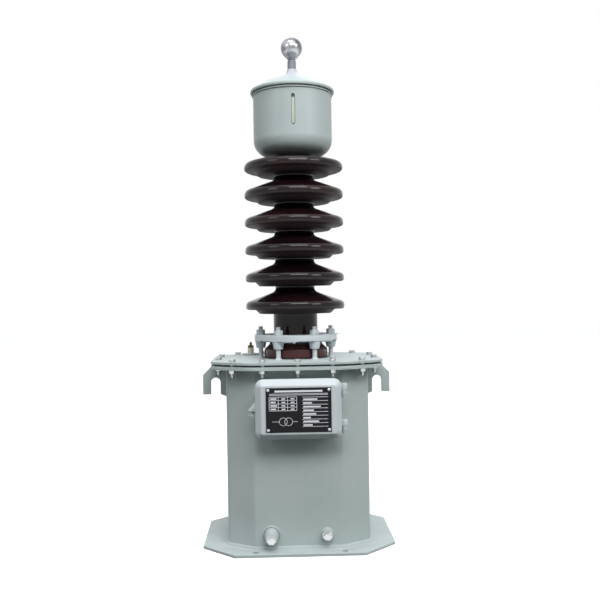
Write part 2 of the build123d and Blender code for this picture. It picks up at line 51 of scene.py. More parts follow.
eye = bpy.data.cameras.new("photographer")
eye.lens = focal_length
eye.sensor_width = film_width
camera = bpy.data.objects.new("photographer", eye)
camera.matrix_world = (
    Matrix.Rotation(radians(camera_azimuth), 4, "Z")
    @ Matrix.Translation((camera_side, -camera_distance, camera_height))
    @ Matrix.Rotation(radians(90), 4, "X")
    @ Matrix.Rotation(radians(-camera_lean), 4, "Z")
)
bpy.context.scene.collection.objects.link(camera)
bpy.context.scene.camera = camera
bpy.context.scene.view_settings.view_transform = "Standard"


# Overcast daylight: a sky brightest overhead, so that whatever faces down is dark, with a broad bright
# part in front, a little to the right, and a long bright streak above. To the camera, and in gloss and
# glass, the sky is the white of the background, and in gloss it grows brighter overhead.
def linear(colour):
    """An sRGB colour written as a hex string, turned into the linear values that shaders take."""
    srgb = np.array([int(colour[i : i + 2], 16) / 255 for i in (1, 3, 5)])
    low = srgb / 12.92
    high = ((srgb + 0.055) / 1.055) ** 2.4
    return tuple(float(v) for v in np.where(srgb <= 0.04045, low, high)) + (1.0,)


def add(tree, kind, values=None, **settings):
    """Adds one shader node. Settings are its attributes; values its inputs, as numbers or sockets."""
    node = tree.nodes.new("ShaderNode" + kind)
    for name, value in settings.items():
        setattr(node, name, value)
    for key, value in (values or {}).items():
        if isinstance(value, bpy.types.NodeSocket):
            tree.links.new(value, node.inputs[key])
        else:
            node.inputs[key].default_value = value
    return node


def seen_directly(tree):
    """1 for what the camera sees, straight or in gloss or through glass, and 0 for all other light."""
    ray = add(tree, "LightPath").outputs
    straight = {0: ray["Is Camera Ray"], 1: ray["Is Transmission Ray"]}
    through = add(tree, "Math", straight, operation="MAXIMUM").outputs[0]
    return add(tree, "Math", {0: through, 1: ray["Is Glossy Ray"]}, operation="MAXIMUM").outputs[0]


zenith = 0.8
horizon = 0.05
gloss_zenith = 1.8
gloss_horizon = 1.0
gloss_rise = 0.35
front_power = 72.0
rear_power = 18.0
streak_power = 24.0
left_power = 16.0
right_power = 34.0

world = bpy.data.worlds.new("overcast sky")
bpy.context.scene.world = world
world.use_nodes = True
sky = world.node_tree
sky.nodes.clear()
up = add(sky, "SeparateXYZ", {0: add(sky, "TexCoord").outputs["Generated"]}).outputs["Z"]
seen = seen_directly(sky)
dome = add(sky, "MapRange", {"Value": up, "To Min": horizon, "To Max": zenith})
gloss_range = {"Value": up, "From Min": gloss_rise, "To Min": gloss_horizon, "To Max": gloss_zenith}
bright = add(sky, "MapRange", gloss_range)
levels = {"Factor": seen, "A": dome.outputs[0], "B": bright.outputs[0]}
level = add(sky, "Mix", levels, data_type="FLOAT").outputs["Result"]
tints = {"Factor": seen, "A": linear("#F6F9FF"), "B": linear("#FFFFFF")}
tint = add(sky, "Mix", tints, data_type="RGBA").outputs["Result"]
sky_light = add(sky, "Background", {"Color": tint, "Strength": level})
add(sky, "OutputWorld", {"Surface": sky_light.outputs[0]})


def soft_light(name, place, target, width, height, power, colour):
    """A rectangular area lamp at place, turned to face target."""
    lamp = bpy.data.lights.new(name, "AREA")
    lamp.shape = "RECTANGLE"
    lamp.size = width
    lamp.size_y = height
    lamp.energy = power
    lamp.color = linear(colour)[:3]
    light = bpy.data.objects.new(name, lamp)
    turn = (Vector(target) - Vector(place)).to_track_quat("-Z", "Y").to_matrix().to_4x4()
    light.matrix_world = Matrix.Translation(place) @ turn
    bpy.context.scene.collection.objects.link(light)


soft_light("front_sky", (0.5, -2.55, 2.85), (0, 0, 0.5), 2.2, 1.1, front_power, "#FFFFFF")
soft_light("bright_streak", (0.0, -1.0, 3.5), (0, 0, 0.6), 2.4, 0.22, streak_power, "#F4F4FF")
soft_light("rear_sky", (0.3, 2.3, 3.0), (0, 0, 0.4), 2.2, 1.2, rear_power, "#FFFFFF")
soft_light("left_sky", (-2.5, -2.0, 2.2), (0, 0, 0.5), 1.3, 1.3, left_power, "#FFFFFF")
soft_light("right_sky", (2.5, -2.0, 2.2), (0, 0, 0.5), 1.3, 1.3, right_power, "#FFFFFF")


# A wide sheet of matt white paper as the floor. It looks white to the camera, in gloss and in glass,
# and keeps the shadow under the object, but throws back only as much light as a dark yard does.
def new_material(name):
    """An empty node material, and its tree."""
    material = bpy.data.materials.new(name)
    material.use_nodes = True
    material.node_tree.nodes.clear()
    return material, material.node_tree


def new_mesh(name, vertices, faces):
    """A mesh from an array of points and an array of quads, its seams and poles joined, facing out."""
    mesh = bpy.data.meshes.new(name)
    mesh.from_pydata(vertices.tolist(), [], faces.tolist())
    work = bmesh.new()
    work.from_mesh(mesh)
    bmesh.ops.remove_doubles(work, verts=work.verts, dist=1e-6)
    bmesh.ops.recalc_face_normals(work, faces=work.faces)
    work.to_mesh(mesh)
    work.free()
    return mesh


floor_half = 14.0
floor_height = -0.0005
paper_glow = 0.5
floor_corners = floor_half * np.array([[-1, -1, 0], [1, -1, 0], [1, 1, 0], [-1, 1, 0]], float)
floor_corners[:, 2] = floor_height
floor_mesh = new_mesh("studio_floor", floor_corners, np.array([[0, 1, 2, 3]]))
paper, tree = new_material("matt paper")
seen = seen_directly(tree)
paper_tones = {"Factor": seen, "A": linear("#353634"), "B": linear("#FAFAFA")}
tone = add(tree, "Mix", paper_tones, data_type="RGBA")
sheet = add(tree, "BsdfDiffuse", {"Color": tone.outputs["Result"]})
glow = add(tree, "Math", {0: seen, 1: paper_glow}, operation="MULTIPLY")
white = add(tree, "Emission", {"Color": linear("#FFFFFF"), "Strength": glow.outputs[0]})
both = add(tree, "AddShader", {0: sheet.outputs[0], 1: white.outputs[0]})
add(tree, "OutputMaterial", {"Surface": both.outputs[0]})
floor_mesh.materials.append(paper)
floor = bpy.data.objects.new("studio_floor", floor_mesh)
bpy.context.scene.collection.objects.link(floor)


# The base plate: 6 mm steel plate with cut corners and four holes, under grey-green alkyd enamel.
# The enamel is sprayed on thick, so it has a soft gloss, a faint orange peel of about 2 mm, slightly
# uneven colour, and dust lying on the faces that look up.
plate_edge = 0.0006
edge_angle = 40
edge_steps = 2
same_point = 0.00001


def enamel(name, colour, shade, dust_colour):
    """Sprayed alkyd enamel in one colour, a second for its uneven patches, and a third for its dust.

    Each pattern's scale is how many of its spots go in a metre. Colour and gloss wander in patches of
    110 mm, dust lies in specks of 17 mm, and the skin is an orange peel of 2 mm on waves of 70 mm."""
    patches, specks, pores, swells = 9.0, 60.0, 450.0, 14.0
    sharpest, dullest = 0.34, 0.48
    most_dust = 0.5
    material, tree = new_material(name)
    place = add(tree, "TexCoord").outputs["Object"]
    cloud = add(tree, "TexNoise", {"Vector": place, "Scale": patches, "Detail": 5.0, "Roughness": 0.6})
    patchy = add(tree, "MapRange", {"Value": cloud.outputs[0], "From Min": 0.35, "From Max": 0.7})
    paint_tones = {"Factor": patchy.outputs[0], "A": linear(colour), "B": linear(shade)}
    uneven = add(tree, "Mix", paint_tones, data_type="RGBA")
    normal = add(tree, "NewGeometry").outputs["Normal"]
    upward = add(tree, "SeparateXYZ", {0: normal}).outputs["Z"]
    speckle = add(tree, "TexNoise", {"Vector": place, "Scale": specks, "Detail": 4.0})
    lying = add(tree, "MapRange", {"Value": upward, "From Min": 0.6, "To Max": most_dust})
    dust = add(tree, "Math", {0: lying.outputs[0], 1: speckle.outputs[0]}, operation="MULTIPLY")
    dust_tones = {"Factor": dust.outputs[0], "A": uneven.outputs["Result"], "B": linear(dust_colour)}
    dusty = add(tree, "Mix", dust_tones, data_type="RGBA")
    gloss = add(tree, "MapRange", {"Value": cloud.outputs[0], "To Min": sharpest, "To Max": dullest})
    dull = add(tree, "Math", {0: lying.outputs[0], 1: 0.5, 2: gloss.outputs[0]}, operation="MULTIPLY_ADD")
    peel = add(tree, "TexNoise", {"Vector": place, "Scale": pores, "Detail": 2.0})
    waves = add(tree, "TexNoise", {"Vector": place, "Scale": swells, "Detail": 2.0})
    rise = add(tree, "Math", {0: waves.outputs[0], 1: 6.0, 2: peel.outputs[0]}, operation="MULTIPLY_ADD")
    skin = add(tree, "Bump", {"Height": rise.outputs[0], "Strength": 0.35, "Distance": 0.0002})
    values = {
        "Base Color": dusty.outputs["Result"],
        "Roughness": dull.outputs[0],
        "Specular IOR Level": 0.4,
        "Normal": skin.outputs[0],
    }
    surface = add(tree, "BsdfPrincipled", values)
    add(tree, "OutputMaterial", {"Surface": surface.outputs[0]})
    return material


def dress(node, material, edge=0.0):
    """Gives a CAD node its material, and where edge is set, breaks its edges by a round of that width."""
    piece = nodes[node]
    piece.data.materials.clear()
    piece.data.materials.append(material)
    if edge:
        joined = piece.modifiers.new("joined", "WELD")
        joined.merge_threshold = same_point
        rounded_edge = piece.modifiers.new("broken edges", "BEVEL")
        rounded_edge.width = edge
        rounded_edge.segments = edge_steps
        rounded_edge.limit_method = "ANGLE"
        rounded_edge.angle_limit = radians(edge_angle)
        rounded_edge.use_clamp_overlap = False
        rounded_edge.harden_normals = True


paint = enamel("grey-green enamel", "#ABB7B5", "#A5B2AF", "#CDD0D2")
pale_paint = enamel("paler grey enamel", "#C3CBCD", "#BCC5C8", "#D2D4D8")
dress("base_plate", paint, plate_edge)


# The tank: 4 mm sheet folded into an octagon, standing on the plate and carrying the flange. Both
# joints, and the sheet's own seam at the rear, are fillet welds laid by hand, with a ripple every
# 4 mm, painted over with the tank.
tank_corners = np.array(
    [[100, 131], [164, 93], [164, -93], [100, -131], [-100, -131], [-164, -93], [-164, 93], [-100, 131]]
) / 1000
fold_radius = 0.014
fold_steps = 9
tank_front = -0.131
tank_rear = 0.131
plate_top = 0.006
flange_foot = 0.408
weld_step = 0.001
weld_ripple = 0.09
weld_sunk = 0.0006
bead_steps = 7
weld_crease = 80


def evenly(points, way, spacing):
    """The points of a closed line and their directions, taken anew at even steps along it."""
    points, way = np.vstack([points, points[:1]]), np.vstack([way, way[:1]])
    run = np.concatenate([[0], np.cumsum(np.linalg.norm(np.diff(points, axis=0), axis=1))])
    at = np.arange(0, run[-1], spacing)
    even = np.stack([np.interp(at, run, points[:, k]) for k in (0, 1)], 1)
    facing = np.stack([np.interp(at, run, way[:, k]) for k in (0, 1)], 1)
    return even, facing / np.linalg.norm(facing, axis=1)[:, None]


def tank_outline(spacing):
    """Points on the tank's outer wall and their outward directions, evenly spaced.

    The octagon is shrunk by the fold's radius by moving its sides in; each corner then is an arc of that
    radius about the shrunk corner, between the directions of its two sides."""
    corners = tank_corners[::-1]
    side = np.roll(corners, -1, 0) - corners
    out = np.stack([side[:, 1], -side[:, 0]], 1) / np.linalg.norm(side, axis=1)[:, None]
    before = np.roll(out, 1, 0)
    reach = np.stack([(before * corners).sum(1), (out * corners).sum(1)], 1) - fold_radius
    centres = np.linalg.solve(np.stack([before, out], 1), reach[..., None])[..., 0]
    start = np.arctan2(before[:, 1], before[:, 0])
    turn = (np.arctan2(out[:, 1], out[:, 0]) - start) % (2 * np.pi)
    angle = (start[:, None] + turn[:, None] * np.linspace(0, 1, fold_steps)).ravel()
    way = np.stack([np.cos(angle), np.sin(angle)], 1)
    return evenly(np.repeat(centres, fold_steps, 0) + fold_radius * way, way, spacing)


def grid_faces(rows, columns, loop_rows, loop_columns):
    """The quads between neighbouring rows and columns of a grid of points, closed where asked."""
    index = np.arange(rows * columns).reshape(rows, columns)
    if loop_rows:
        index = np.vstack([index, index[:1]])
    if loop_columns:
        index = np.hstack([index, index[:, :1]])
    return np.stack([index[:-1, :-1], index[:-1, 1:], index[1:, 1:], index[1:, :-1]], -1).reshape(-1, 4)


def patch(grid, loop_rows=False, loop_columns=True):
    """A grid of points, rows by columns, as an array of points and an array of quads."""
    rows, columns = grid.shape[:2]
    return grid.reshape(-1, 3), grid_faces(rows, columns, loop_rows, loop_columns)


def piece_of(name, patches, body, material, crease=35.0):
    """One piece from several patches, with its body and material. Edges over crease stay sharp."""
    counts = np.cumsum([0] + [len(points) for points, faces in patches])
    vertices = np.vstack([points for points, faces in patches])
    faces = np.vstack([faces + start for start, (points, faces) in zip(counts, patches)])
    mesh = new_mesh(name, vertices, faces)
    mesh.polygons.foreach_set("use_smooth", np.ones(len(mesh.polygons), bool))
    mesh.set_sharp_from_angle(angle=radians(crease))
    mesh.materials.append(material)
    piece = bpy.data.objects.new(name, mesh)
    bpy.context.scene.collection.objects.link(piece)
    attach(piece, body)
    return piece


def bead(path, out, along, size, closed=True):
    """A weld bead in the corner between two faces.

    At each point of the path the section is a quarter round between the directions out and along, with a
    point sunk in the corner; its size rises and falls with the ripple, every fourth point."""
    out, along = np.broadcast_to(out, path.shape), np.broadcast_to(along, path.shape)
    angle = np.linspace(0, np.pi / 2, bead_steps)
    ripple = size * (1 + weld_ripple * np.cos(np.arange(len(path)) * np.pi / 2))
    round_part = path[None] + ripple[None, :, None] * (
        np.cos(angle)[:, None, None] * out[None] + np.sin(angle)[:, None, None] * along[None]
    )
    sunk = (path - weld_sunk * (out + along))[None]
    return patch(np.concatenate([sunk, round_part]), loop_rows=True, loop_columns=closed)


def flat_path(points, out, height):
    """A path in plan and its outward directions, lifted to a height."""
    raised = np.full((len(points), 1), height)
    return np.hstack([points, raised]), np.hstack([out, 0 * raised])


def upright_path(x, y, foot, head):
    """An upright path at a place in plan, from foot up to head."""
    height = np.arange(foot, head, weld_step)
    return np.stack([np.full(len(height), x), np.full(len(height), y), height], 1)


forwards = np.array([0.0, -1.0, 0.0])
rearwards = np.array([0.0, 1.0, 0.0])
rightwards = np.array([1.0, 0.0, 0.0])
upwards = np.array([0.0, 0.0, 1.0])
foot_weld, head_weld, rear_weld = 0.0045, 0.0035, 0.003
seam_foot, seam_head = 0.008, 0.406
outline, facing = tank_outline(weld_step)
tank_welds = [
    bead(*flat_path(outline, facing, plate_top), upwards, foot_weld),
    bead(*flat_path(outline, facing, flange_foot), -upwards, head_weld),
]
seam = upright_path(0.0, tank_rear, seam_foot, seam_head)
for side in (-1, 1):
    tank_welds.append(bead(seam, side * rightwards, rearwards, rear_weld, closed=False))
dress("tank_shell", paint)
piece_of("tank_welds", tank_welds, "transformer", paint, weld_crease)


# The flange and the lid are cut from plate. A sheet of black nitrile rubber is clamped between them:
# dull and nearly black, with a mottle and a fine relief of about 3 mm.
def mottled(name, spots, detail, first, second, values, stretch=(1.0, 1.0, 1.0), haze=None, bump=None):
    """A finish whose colour wanders between two tones, by a noise with that many spots in a metre.

    Stretch multiplies the spots along each axis, haze is the range of a roughness that follows the
    noise, bump is the strength and the depth of a relief, and values are all that stays the same."""
    material, tree = new_material(name)
    place = add(tree, "TexCoord").outputs["Object"]
    laid = add(tree, "Mapping", {"Vector": place, "Scale": stretch}).outputs[0]
    grain = add(tree, "TexNoise", {"Vector": laid, "Scale": spots, "Detail": detail}).outputs[0]
    tones = {"Factor": grain, "A": linear(first), "B": linear(second)}
    tone = add(tree, "Mix", tones, data_type="RGBA")
    surface = add(tree, "BsdfPrincipled", {"Base Color": tone.outputs["Result"], **values})
    if haze:
        dulled = add(tree, "MapRange", {"Value": grain, "To Min": haze[0], "To Max": haze[1]})
        tree.links.new(dulled.outputs[0], surface.inputs["Roughness"])
    if bump:
        skin = add(tree, "Bump", {"Height": grain, "Strength": bump[0], "Distance": bump[1]})
        tree.links.new(skin.outputs[0], surface.inputs["Normal"])
    add(tree, "OutputMaterial", {"Surface": surface.outputs[0]})
    return material


black_rubber = mottled(
    "nitrile rubber sheet", 300.0, 3.0, "#0E0F10", "#1C1D1E", {"Roughness": 0.68}, bump=(0.3, 0.0003)
)
dress("tank_flange", paint, plate_edge)
dress("lid_gasket", black_rubber)
dress("tank_lid", paint, plate_edge)


# Fourteen M8 bolts hold the lid: a hexagon head on a washer above, a nut on a washer and a threaded
# tail below. They are cold-headed steel with rolled threads, zinc-plated bright, and a little dulled:
# the plating's tone and sharpness wander in spots of about 5 mm.
zinc = mottled(
    "bright zinc plating", 220.0, 3.0, "#A9ABAB", "#CBCDCE", {"Metallic": 1.0}, haze=(0.24, 0.44)
)


def turned(profile, steps=48):
    """A surface of revolution about Z: each point of the profile, radius and height, makes a circle."""
    profile = np.asarray(profile, float)
    angle = np.linspace(0, 2 * np.pi, steps, endpoint=False)
    ring = np.stack([np.cos(angle), np.sin(angle)], 1)
    flat = profile[:, None, :1] * ring[None]
    return np.concatenate([flat, np.repeat(profile[:, None, 1:], steps, 1)], -1)


def rod(radius, foot, top, steps=48):
    """A plain round rod about Z."""
    return turned([(0, foot), (radius, foot), (radius, top), (0, top)], steps)


def washer(outer, bore, foot, top):
    """A plain washer about Z."""
    return turned([(bore, foot), (outer, foot), (outer, top), (bore, top)])


def hexagon(across, foot, top, bore=0.0, steps=48):
    """A nut or a bolt's head about Z.

    Its radius at an angle is half the width across flats divided by the cosine of the angle from the
    nearest flat's middle, and each end is cut back by a cone of 30 degrees that touches the flats."""
    end_share = 0.96
    least_cut = 0.0002
    angle = np.linspace(0, 2 * np.pi, steps, endpoint=False)
    edge = across / 2 / np.cos(angle % (np.pi / 3) - np.pi / 6)
    cut = (edge - across / 2) * tan(radians(30)) + least_cut
    inner = np.full(steps, across / 2 * end_share)
    hole = np.full(steps, bore)
    radius = np.stack([hole, inner, edge, edge, inner, hole])
    low, high = np.full(steps, foot), np.full(steps, top)
    height = np.stack([low, low, low + cut, high - cut, high, high])
    return np.stack([radius * np.cos(angle), radius * np.sin(angle), height], -1)


def thread(radius, foot, top, pitch, steps=24):
    """A screw's end about Z, from foot up to top, with its tip chamfered.

    Its radius falls from the crest to the root and rises again once in each pitch, and the crest climbs
    one pitch in a turn, so it is a triangle wave of height over pitch less the share of the turn."""
    rows_in_a_pitch = 4
    depth = 0.55 * pitch
    tip_radius = radius - 0.6 * pitch
    tip_top = top + 0.3 * pitch
    rows = int((top - foot) / pitch * rows_in_a_pitch) + 1
    height = np.linspace(foot, top, rows)[:, None]
    angle = np.linspace(0, 2 * np.pi, steps, endpoint=False)[None]
    wave = np.abs(2 * ((height / pitch - angle / (2 * np.pi)) % 1) - 1)
    size = np.vstack([radius - depth * wave, np.full(steps, tip_radius), np.zeros(steps)])
    height = np.vstack([np.repeat(height, steps, 1), np.full((2, steps), tip_top)])
    angle = np.repeat(angle, rows + 2, 0)
    return np.stack([size * np.cos(angle), size * np.sin(angle), height], -1)


def copies(grid, places, loop_rows=False):
    """One patch that repeats a grid of points at several places."""
    points, faces = patch(grid, loop_rows)
    many = (points[None] + places[:, None]).reshape(-1, 3)
    starts = np.arange(len(places)) * len(points)
    return many, (faces[None] + starts[:, None, None]).reshape(-1, 4)


bolt_along, bolt_beyond = 0.006, 0.019
facet = tank_corners[:2]
facet_way = (facet[1] - facet[0]) / np.linalg.norm(facet[1] - facet[0])
facet_out = np.array([-facet_way[1], facet_way[0]])
corner_bolt = facet.mean(0) + bolt_along * facet_way + bolt_beyond * facet_out
bolt_x = np.array([-78, 0, 78, -78, 0, 78, 183, 183, -183, -183]) / 1000
bolt_y = np.array([-150, -150, -150, 150, 150, 150, -48, 48, -48, 48]) / 1000
signs = np.array([[1, 1], [1, -1], [-1, 1], [-1, -1]])
bolt_plan = np.vstack([np.stack([bolt_x, bolt_y], 1), signs * corner_bolt])
bolt_places = np.hstack([bolt_plan, np.zeros((len(bolt_plan), 1))])

lid_top = 0.426
head_foot, head_top = 0.4275, 0.4328
nut_foot, nut_top = 0.4, 0.4065
bolt_radius = 0.004
bolt_flats = 0.013
washer_radius, washer_bore = 0.008, 0.0035
shank_top = 0.427
tail_start, tail_length, bolt_pitch = 0.4005, 0.0085, 0.00125
tail = thread(bolt_radius, 0.0, tail_length, bolt_pitch)
tail[..., 2] = tail_start - tail[..., 2]
bolt_patches = [
    copies(washer(washer_radius, washer_bore, lid_top, head_foot), bolt_places, True),
    copies(hexagon(bolt_flats, head_foot, head_top), bolt_places),
    copies(rod(bolt_radius, nut_foot, shank_top), bolt_places),
    copies(washer(washer_radius, washer_bore, nut_top, flange_foot), bolt_places, True),
    copies(hexagon(bolt_flats, nut_foot, nut_top), bolt_places),
    copies(tail, bolt_places),
]
lid_bolts = piece_of("lid_bolts_threaded", bolt_patches, "transformer", zinc)
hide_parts("lid_bolts")


# Two lifting hooks, flame-cut from 10 mm plate and welded upright to the tank's end walls, one bead
# on each side of the plate. They are painted with the tank.
tank_end = 0.164
hook_half = 0.005
hook_foot, hook_head = 0.334, 0.407
hook_weld = 0.004
hook_edge = 0.0008
hook_welds = []
for side in (-1, 1):
    for face in (-1, 1):
        seam = upright_path(side * tank_end, face * hook_half, hook_foot, hook_head)
        hook_welds.append(bead(seam, side * rightwards, face * rearwards, hook_weld, closed=False))
piece_of("hook_welds", hook_welds, "transformer", paint, weld_crease)
dress("lifting_hook_right", paint, hook_edge)
dress("lifting_hook_left", paint, hook_edge)


# The bushing is one hollow body of porcelain, turned on a lathe while leather-hard, and fired under a
# dark brown iron glaze. It stands on a rubber gasket and is held down over a packing.

# The glaze is glossy: nearly black where it lies thick and redder where it ran thin, in clouds of 140
# by 50 mm, with a ripple every 25 mm from the lathe. The foot is paler, and the sheds' undersides are
# dull with grime. The two scales are spots in a metre.
clouds, lathe_ripples = 7.0, 40.0
glaze, tree = new_material("brown porcelain glaze")
place = add(tree, "TexCoord").outputs["Object"]
stretch = add(tree, "Mapping", {"Vector": place, "Scale": (1.0, 1.0, 3.0)}).outputs[0]
cloud = add(tree, "TexNoise", {"Vector": stretch, "Scale": clouds, "Detail": 6.0, "Roughness": 0.55})
thin = add(tree, "MapRange", {"Value": cloud.outputs[0], "From Min": 0.45, "From Max": 0.75})
glaze_tones = {"Factor": thin.outputs[0], "A": linear("#12080B"), "B": linear("#281415")}
brown = add(tree, "Mix", glaze_tones, data_type="RGBA")
height = add(tree, "SeparateXYZ", {0: place}).outputs["Z"]
foot = add(tree, "MapRange", {"Value": height, "From Min": 0.475, "From Max": 0.455})
foot_tones = {"Factor": foot.outputs[0], "A": brown.outputs["Result"], "B": linear("#4A2A29")}
footed = add(tree, "Mix", foot_tones, data_type="RGBA")
ripple = add(tree, "TexNoise", {"Vector": place, "Scale": lathe_ripples, "Detail": 2.0})
skin = add(tree, "Bump", {"Height": ripple.outputs[0], "Strength": 0.12, "Distance": 0.0005})
upward = add(tree, "SeparateXYZ", {0: add(tree, "NewGeometry").outputs["Normal"]}).outputs["Z"]
grime_range = {"Value": upward, "From Min": -0.1, "From Max": -0.8, "To Min": 0.13, "To Max": 0.6}
grime = add(tree, "MapRange", grime_range)
glaze_values = {
    "Base Color": footed.outputs["Result"],
    "Roughness": grime.outputs[0],
    "Specular IOR Level": 0.24,
    "Normal": skin.outputs[0],
}
surface = add(tree, "BsdfPrincipled", glaze_values)
add(tree, "OutputMaterial", {"Surface": surface.outputs[0]})


def rounded(corners, steps=6):
    """A profile through corners, each a radius from the axis, a height and a rounding, in millimetres.

    Each corner is replaced by the parabola that leaves its two sides where a circle of that rounding
    would: the rounding times the tangent of half the turn away from the corner."""
    corners = np.asarray(corners, float)
    point = corners[:, :2] / 1000
    ahead = np.roll(point, -1, 0) - point
    ahead /= np.linalg.norm(ahead, axis=1)[:, None]
    behind = np.roll(ahead, 1, 0)
    turn = np.arccos(np.clip((ahead * behind).sum(1), -1, 1))
    reach = (corners[:, 2] / 1000 * np.tan(turn / 2))[:, None, None]
    share = np.linspace(0, 1, steps)[None, :, None]
    bend = (share**2) * ahead[:, None] - ((1 - share) ** 2) * behind[:, None]
    return (point[:, None] + reach * bend).reshape(-1, 2)


porcelain_steps = 160
porcelain_crease = 50
shed_count = 6
shed_pitch = 66.6
first_rim = 553
shed_shape = np.array(
    [[47, -21, 4], [86, -21, 3], [96, -11, 5], [119, -11, 8], [119, 7, 13], [47, 33, 13]], float
)
shed_rims = first_rim + shed_pitch * np.arange(shed_count)
sheds = np.tile(shed_shape, (shed_count, 1))
sheds[:, 1] += np.repeat(shed_rims, len(shed_shape))
sheds = sheds[1:]
sheds[-1] = (45.5, 906, 4)
foot_part = [[25, 429, 0], [76, 429, 2], [76, 447, 4], [63, 460, 2], [53, 460, 3], [53, 532, 3]]
top_part = [[39.5, 908, 1], [25, 908, 0]]
porcelain_profile = rounded(np.vstack([foot_part, sheds, top_part]))
porcelain_patches = [patch(turned(porcelain_profile, porcelain_steps), True)]
porcelain = piece_of(
    "porcelain_body", porcelain_patches, "transformer", glaze, porcelain_crease
)
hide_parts("porcelain_bushing")
dress("seat_gasket", black_rubber)
dress("ring_packing", black_rubber)
dress("crown_gasket", black_rubber)


# The clamp ring is an iron casting with a boss round each of its six studs. The studs are welded to the
# lid and their nuts stand on washers. Ring, studs and nuts were painted together.
stud_circle = 0.0845
stud_radius = 0.0055
stud_top, thread_foot, thread_top = 0.484, 0.483, 0.5012
stud_pitch = 0.00175
ring_top, ring_nut_foot, ring_nut_top = 0.482, 0.4838, 0.494
nut_flats, nut_bore = 0.018, 0.005
nut_washer = 0.0115
cast_edge = 0.0008
stud_steps = 32
stud_angle = np.radians(30 + 60 * np.arange(6))
stud_places = stud_circle * np.stack([np.sin(stud_angle), np.cos(stud_angle), 0 * stud_angle], 1)
foot_bead = [(stud_radius, lid_top), (0.0085, lid_top), (0.0075, 0.428), (stud_radius, 0.4295)]
stud_patches = [
    copies(rod(stud_radius, lid_top, stud_top, stud_steps), stud_places),
    copies(turned(foot_bead, stud_steps), stud_places, True),
    copies(thread(stud_radius, thread_foot, thread_top, stud_pitch), stud_places),
]
nut_patches = [
    copies(washer(nut_washer, stud_radius, ring_top, ring_nut_foot), stud_places, True),
    copies(hexagon(nut_flats, ring_nut_foot, ring_nut_top, nut_bore), stud_places, True),
]
studs = piece_of("clamp_studs_threaded", stud_patches, "transformer", pale_paint)
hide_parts("clamp_studs")
nuts = piece_of("clamp_nuts_chamfered", nut_patches, "transformer", pale_paint)
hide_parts("clamp_nuts")
dress("clamp_ring", pale_paint, cast_edge)


# The conservator: a bowl spun from 3 mm steel with a rolled lip, closed by a domed cap with a curled
# rim, on a thin gasket. Behind the slot in its front lies the gauge glass, with pale oil against it.
def circle_arc(radius, centre, first, last, steps):
    """Points of a circle about a place on the axis, from one angle above the horizon to another."""
    angle = np.radians(np.linspace(first, last, steps))
    return np.stack([radius * np.cos(angle), centre + radius * np.sin(angle)], 1)


cap_top = 1.104
dome_radius = 0.14507
hollow_radius = 0.14207
dome_centre = cap_top - dome_radius
outer_edge, inner_edge = 0.0945, 0.0915
cap_steps, cap_crease = 144, 50
dome_edge = np.degrees(np.arccos(outer_edge / dome_radius))
hollow_edge = np.degrees(np.arccos(inner_edge / hollow_radius))
cap_rim = rounded([(94.5, 1069, 0.8), (101, 1069, 3.2), (101, 1061, 2.8), (91.5, 1061, 0)])
dome = circle_arc(dome_radius, dome_centre, 90, dome_edge, 24)
hollow = circle_arc(hollow_radius, dome_centre, hollow_edge, 90, 12)
cap_patches = [patch(turned(np.vstack([dome, cap_rim, hollow]), cap_steps))]
cap = piece_of("cap_spun", cap_patches, "transformer", paint, cap_crease)
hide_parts("conservator_cap")
dress("conservator_bowl", paint)
dress("cap_gasket", black_rubber)

# The gauge is clear glass over pale oil, dark above the oil where the glass is empty.
# Its foot and both of its sides are darkened with painted shade, where the slot's edges shade it.
gauge_foot, gauge_head = 0.968, 1.041
side_shade_from, side_shade_to = 0.0029, 0.0038
gauge_bands = ((0.5, "#BCC4B2"), (0.86, "#B9C2B6"), (0.885, "#2B3030"), (1.0, "#1E2222"))
gauge, tree = new_material("gauge glass over oil")
place = add(tree, "SeparateXYZ", {0: add(tree, "TexCoord").outputs["Object"]}).outputs
share = add(tree, "MapRange", {"Value": place["Z"], "From Min": gauge_foot, "From Max": gauge_head})
bands = add(tree, "ValToRGB", {"Fac": share.outputs[0]})
stops = bands.color_ramp.elements
# The first stop is painted shadow at the glass's foot, under the slot's lower edge.
stops[0].position, stops[0].color = 0.03, linear("#4C5550")
stops[1].position, stops[1].color = 0.07, linear("#AEB5A2")
for position, colour in gauge_bands:
    stops.new(position).color = linear(colour)
# Painted shade along both sides of the glass, where the slot's edges shade it.
aside = add(tree, "Math", {0: place["X"]}, operation="ABSOLUTE")
side_shade = add(tree, "MapRange", {"Value": aside.outputs[0], "From Min": side_shade_from, "From Max": side_shade_to})
gauge_tones = {"Factor": side_shade.outputs[0], "A": bands.outputs[0], "B": linear("#3C4442")}
tone = add(tree, "Mix", gauge_tones, data_type="RGBA")
gauge_values = {
    "Base Color": tone.outputs["Result"],
    "Roughness": 0.25,
    "Coat Weight": 1.0,
    "Coat Roughness": 0.03,
}
surface = add(tree, "BsdfPrincipled", gauge_values)
add(tree, "OutputMaterial", {"Surface": surface.outputs[0]})
dress("level_glass", gauge)


# The high-voltage terminal: a turned steel foot and stem, painted a light grey, and a contact ball
# turned with its conical neck and plated. The plating is smooth, with faint turning rings 1 mm apart.
# Dark blotches of about 26 mm are painted reflections of dark surroundings, and the plating is rougher
# where they lie.
stem_paint = enamel("lilac-grey enamel", "#7F7E88", "#74737D", "#95959C")
flare_paint = enamel("light grey enamel", "#BCBEC7", "#B1B3BC", "#CBCCD2")
flare_steps = 64
flare_low, flare_high = [0.022, 1.1037], [0.01145, 1.121]
flare_hollow = [0.0017, 0.001]
flare_share = np.linspace(0, 1, 12)[:, None]
flare = (1 - flare_share) * [flare_low] + flare_share * [flare_high]
flare -= np.sin(np.pi * flare_share) * [flare_hollow]
flare_profile = np.vstack([[[0, 1.099]], [[0.022, 1.0995]], flare, [[0, 1.121]]])
flare_patches = [patch(turned(flare_profile, flare_steps))]
flare_foot = piece_of("terminal_flare", flare_patches, "transformer", flare_paint)
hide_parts("terminal_foot")

